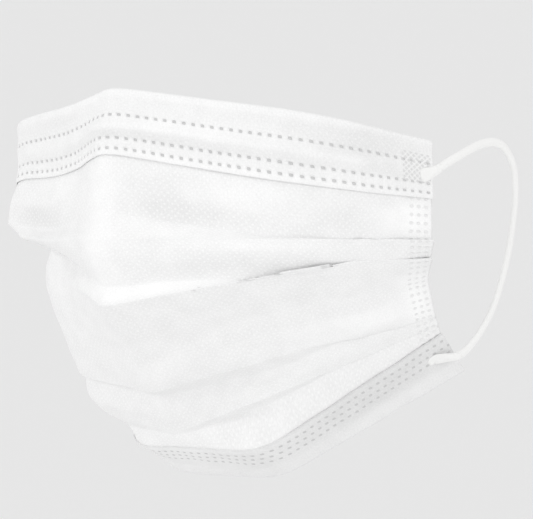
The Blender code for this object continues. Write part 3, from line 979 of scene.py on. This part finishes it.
def hatchMask(tree, uv, hatch):
    # the diamonds between the raised criss-cross lines of the patch that holds the strap
    parts = addNode(tree, "ShaderNodeSeparateXYZ", {"Vector": uv}).outputs
    along = addNode(tree, "ShaderNodeMath", {0: parts[0]}, operation="ABSOLUTE").outputs[0]
    distances = []
    for slant in (1, -1):
        both = addNode(tree, "ShaderNodeMath", {0: parts[1], 1: slant, 2: along}, operation="MULTIPLY_ADD").outputs[0]
        both = addNode(tree, "ShaderNodeMath", {0: both, 1: 100 / hatch["lines"]}, operation="MULTIPLY").outputs[0]
        distances.append(addNode(tree, "ShaderNodeMath", {0: both, 1: 0.5}, operation="PINGPONG").outputs[0])
    centreAlong, halfAlong, centreDown, halfDown = hatch["patch"]
    inside = []
    for value, sign, centre, half in ((along, 1, centreAlong, halfAlong), (parts[1], -1, centreDown, halfDown)):
        away = addNode(
            tree, "ShaderNodeMath", {0: value, 1: 100 * sign, 2: -centre}, operation="MULTIPLY_ADD"
        ).outputs[0]
        away = addNode(tree, "ShaderNodeMath", {0: away}, operation="ABSOLUTE").outputs[0]
        inside.append(addNode(
            tree, "ShaderNodeMapRange",
            {"Value": away, "From Min": half - 0.2, "From Max": half + 0.2, "To Min": 1.0, "To Max": 0.0},
        ).outputs[0])
    nearest = addNode(tree, "ShaderNodeMath", {0: distances[0], 1: distances[1]}, operation="MINIMUM").outputs[0]
    diamond = addNode(
        tree, "ShaderNodeMapRange", {"Value": nearest, "From Min": 0.12, "From Max": 0.30},
        interpolation_type="SMOOTHSTEP",
    ).outputs[0]
    for value in inside:
        diamond = addNode(tree, "ShaderNodeMath", {0: diamond, 1: value}, operation="MULTIPLY").outputs[0]
    return diamond


def knittedElastic(name):
    # knitted spandex cord under a soft nylon cover: no gloss at all, a fuzzy pale edge
    made, tree = newMaterial(name)
    uv = addNode(tree, "ShaderNodeUVMap", uv_map="clothMap").outputs["UV"]
    # fine knitted ribs along the cord, 0.45 mm apart, broken up by the fuzz of the yarn
    ribs = addNode(
        tree, "ShaderNodeTexWave",
        {"Vector": uv, "Scale": 100 / 0.45 / 20, "Distortion": 3.0, "Detail": 2.0, "Detail Scale": 4.0},
        wave_type="BANDS", bands_direction="Y",
    ).outputs["Fac"]
    fuzz = addNode(tree, "ShaderNodeTexNoise", {"Vector": uv, "Scale": 100 / 0.6, "Detail": 4.0}).outputs["Fac"]
    height = addNode(tree, "ShaderNodeMath", {0: fuzz, 1: 1.0, 2: ribs}, operation="MULTIPLY_ADD").outputs[0]
    tone = addNode(tree, "ShaderNodeMix", {0: fuzz, 6: srgb("F0F0EF"), 7: srgb("F8F8F7")}, data_type="RGBA").outputs[2]
    bump = addNode(tree, "ShaderNodeBump", {"Height": height, "Strength": 0.18, "Distance": 0.00015}).outputs[0]
    shader = addNode(
        tree, "ShaderNodeBsdfPrincipled",
        {"Base Color": tone, "Normal": bump, "Roughness": 0.85, "Sheen Weight": 0.25, "Specular IOR Level": 0.2},
    )
    addNode(tree, "ShaderNodeOutputMaterial", {"Surface": shader.outputs[0]})
    return made


def coatedWire(name):
    # iron wire in extruded polyethylene: a smooth milky strip, a little glossy
    made, tree = newMaterial(name)
    place = addNode(tree, "ShaderNodeTexCoord").outputs["Object"]
    grain = addNode(tree, "ShaderNodeTexNoise", {"Vector": place, "Scale": 900.0, "Detail": 2.0}).outputs["Fac"]
    tone = addNode(tree, "ShaderNodeMix", {0: grain, 6: srgb("E9E9E6"), 7: srgb("F4F4F2")}, data_type="RGBA").outputs[2]
    shader = addNode(tree, "ShaderNodeBsdfPrincipled", {"Base Color": tone, "Roughness": 0.4, "IOR": 1.5})
    addNode(tree, "ShaderNodeOutputMaterial", {"Surface": shader.outputs[0]})
    return made


# the weld tone is partly the melted film, which lets the grey behind show, and partly painted shade of the pressed
# dimple
clothTones = {"thin": "E4E4E4", "thick": "FFFFFF", "bond": "FFFFFF", "weldAndShade": "D4D4D4", "diamond": "E0E0E0"}
# the hem strip's tones are a darker copy of the cloth's: painted shade, as the strip lies under the hem fold
shadedHemTones = {**clothTones, "thin": "DCDCDC", "thick": "F6F6F6", "bond": "F4F4F4", "weldAndShade": "CCCCCC"}
# square makes a spot squarer as it grows, soft is how its edge fades and sink how deep it looks
endWelds = {
    "map": "endMap",
    "pitch": body["weldPitch"],
    "rows": tuple((column, 0.0) for column in body["weldColumns"]),
    "half": body["weldHalf"],
    "square": 2,
    "soft": (0.1, 1.6),
    "sink": 0.5,
}
topWelds = {
    "map": "clothMap",
    "pitch": binding["pitch"] / mm,
    "rows": binding["rows"],
    "half": (0.62, 0.52),
    "square": 3,
    "soft": (0.5, 1.25),
    "sink": 0.4,
}
hemWelds = {
    **topWelds,
    "rows": tuple((hemLength / mm - row, phase) for row, phase in hem["rows"]),
    "half": (0.60, 0.46),
    "sink": 0.15,
}
strapPatch = {"patch": binding["patch"], "lines": binding["hatch"]}

spunbond = spunbondPolypropylene("spunbondPolypropylene", {**clothTones, "weldAndShade": "EDEDED"}, 0.45, endWelds)
topStrip = spunbondPolypropylene("weldedTopStrip", clothTones, 0.25, topWelds, strapPatch)
# the hem strip is drawn in the darker tones: painted shade
shadedHemStrip = spunbondPolypropylene("weldedHemStripShaded", shadedHemTones, 0.20, hemWelds)
elastic = knittedElastic("knittedElastic")
wire = coatedWire("coatedWire")

print("materials made: 5")

# Each piece with its material, the solid that it stands for and its slot
pieces = (
    (maskCloth, spunbond, "mask_body", "spunbond_cloth"),
    (topBinding, topStrip, "top_binding", "binding_strip"),
    (bottomHem, shadedHemStrip, "bottom_hem", "binding_strip"),
    (wireStrip, wire, "nose_wire", "coated_wire"),
    (loops["Right"][0], elastic, "ear_loop_right", "elastic"),
    (loops["Left"][0], elastic, "ear_loop_left", "elastic"),
    (strapEnds["Right"][0], elastic, "weld_tab_right_top", "elastic"),
    (strapEnds["Right"][1], elastic, "weld_tab_right_bottom", "elastic"),
    (strapEnds["Left"][0], elastic, "weld_tab_left_top", "elastic"),
    (strapEnds["Left"][1], elastic, "weld_tab_left_bottom", "elastic"),
)
for piece, material, node, slot in pieces:
    piece.data.materials.append(material)
    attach(piece, "root")
    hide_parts(node)

# The ear loops' pieces, lines and lengths, taken in turn
for word in ("Right", "Left"):
    piece, line, length = loops[word]
print("pieces on the frame:", len(pieces))

# Camera, lights and the pale studio

camera = {
    "azimuth": 38.0,  # degrees round from straight in front, towards +X
    "distance": 0.55,
    "target": (0.0322, 0.0227, -0.0454),
    "pixelsPerMetre": 3780.0,  # at the target, in a picture 533 wide
    "width": 533,
}
back = np.array((math.sin(math.radians(camera["azimuth"])), -math.cos(math.radians(camera["azimuth"])), 0.0))
lens = bpy.data.cameras.new("camera")
lens.sensor_width = 36
lens.lens = camera["pixelsPerMetre"] * camera["distance"] / camera["width"] * lens.sensor_width
lens.clip_start = 0.01
view = bpy.data.objects.new("camera", lens)
view.location = np.array(camera["target"]) + back * camera["distance"]
view.rotation_euler = (math.pi / 2, 0, math.radians(camera["azimuth"]))
bpy.context.collection.objects.link(view)
bpy.context.scene.camera = view

studio = {
    "floor": -0.30,
    "reach": 2.5,  # half its width, and how far its floor comes forward
    "bendAt": 1.2,
    "bend": 0.8,
    "high": 3.0,
    "paper": "C8C8C8",
    "glow": 0.308,
}


def paleSweep():
    build = bmesh.new()
    steps = 24
    sweep = [(-studio["reach"], studio["floor"])]
    for k in range(steps + 1):
        angle = math.pi / 2 * k / steps
        distance = studio["bendAt"] + studio["bend"] * math.sin(angle)
        sweep.append((distance, studio["floor"] + studio["bend"] * (1 - math.cos(angle))))
    sweep.append((studio["bendAt"] + studio["bend"], studio["floor"] + studio["high"]))
    sideways = np.array((back[1], -back[0], 0.0)) * studio["reach"]
    away = -back
    edges = []
    for distance, height in sweep:
        middle = np.array(camera["target"]) + away * distance
        middle[2] = height
        edges.append([build.verts.new(middle - sideways), build.verts.new(middle + sideways)])
    for lower, upper in zip(edges, edges[1:]):
        build.faces.new((lower[0], lower[1], upper[1], upper[0]))
    bmesh.ops.recalc_face_normals(build, faces=build.faces)
    mesh = bpy.data.meshes.new("paleSweep")
    build.to_mesh(mesh)
    build.free()
    mesh.shade_smooth()
    piece = bpy.data.objects.new("paleSweep", mesh)
    bpy.context.collection.objects.link(piece)
    # matt background paper, with a glow of its own so that it stays even and pale in every corner
    made, tree = newMaterial("palePaper")
    shader = addNode(
        tree, "ShaderNodeBsdfPrincipled",
        {"Base Color": srgb(studio["paper"]), "Roughness": 0.95,
         "Emission Color": (1, 1, 1, 1), "Emission Strength": studio["glow"]},
    )
    addNode(tree, "ShaderNodeOutputMaterial", {"Surface": shader.outputs[0]})
    mesh.materials.append(made)
    return piece


paleSweep()

lights = {
    "sky": 0.775,
    "boxes": (
        # name, azimuth and height in degrees, distance, size, watts
        ("overhead box", 10, 58, 1.25, 0.55, 1.3),
        ("left box", -46, 16, 1.10, 0.45, 1.7),
        ("right box", 84, 14, 1.10, 0.45, 1.85),
        ("low box", 14, -22, 0.50, 0.14, 0.165),
    ),
}
world = bpy.data.worlds.new("studio")
bpy.context.scene.world = world
world.use_nodes = True
world.node_tree.nodes["Background"].inputs["Color"].default_value = (1, 1, 1, 1)
world.node_tree.nodes["Background"].inputs["Strength"].default_value = lights["sky"]
for name, azimuth, height, distance, size, watts in lights["boxes"]:
    lamp = bpy.data.lights.new(name, "AREA")
    lamp.energy = watts
    lamp.size = size
    made = bpy.data.objects.new(name, lamp)
    turn = math.radians(azimuth)
    rise = math.radians(height)
    toLamp = np.array((math.sin(turn) * math.cos(rise), -math.cos(turn) * math.cos(rise), math.sin(rise)))
    made.location = np.array(camera["target"]) + toLamp * distance
    made.rotation_euler = (math.pi / 2 - rise, 0, turn)
    made.visible_camera = False
    bpy.context.collection.objects.link(made)
print("camera, paper and", len(lights["boxes"]), "lights set")

bpy.context.scene.view_settings.view_transform = "Standard"
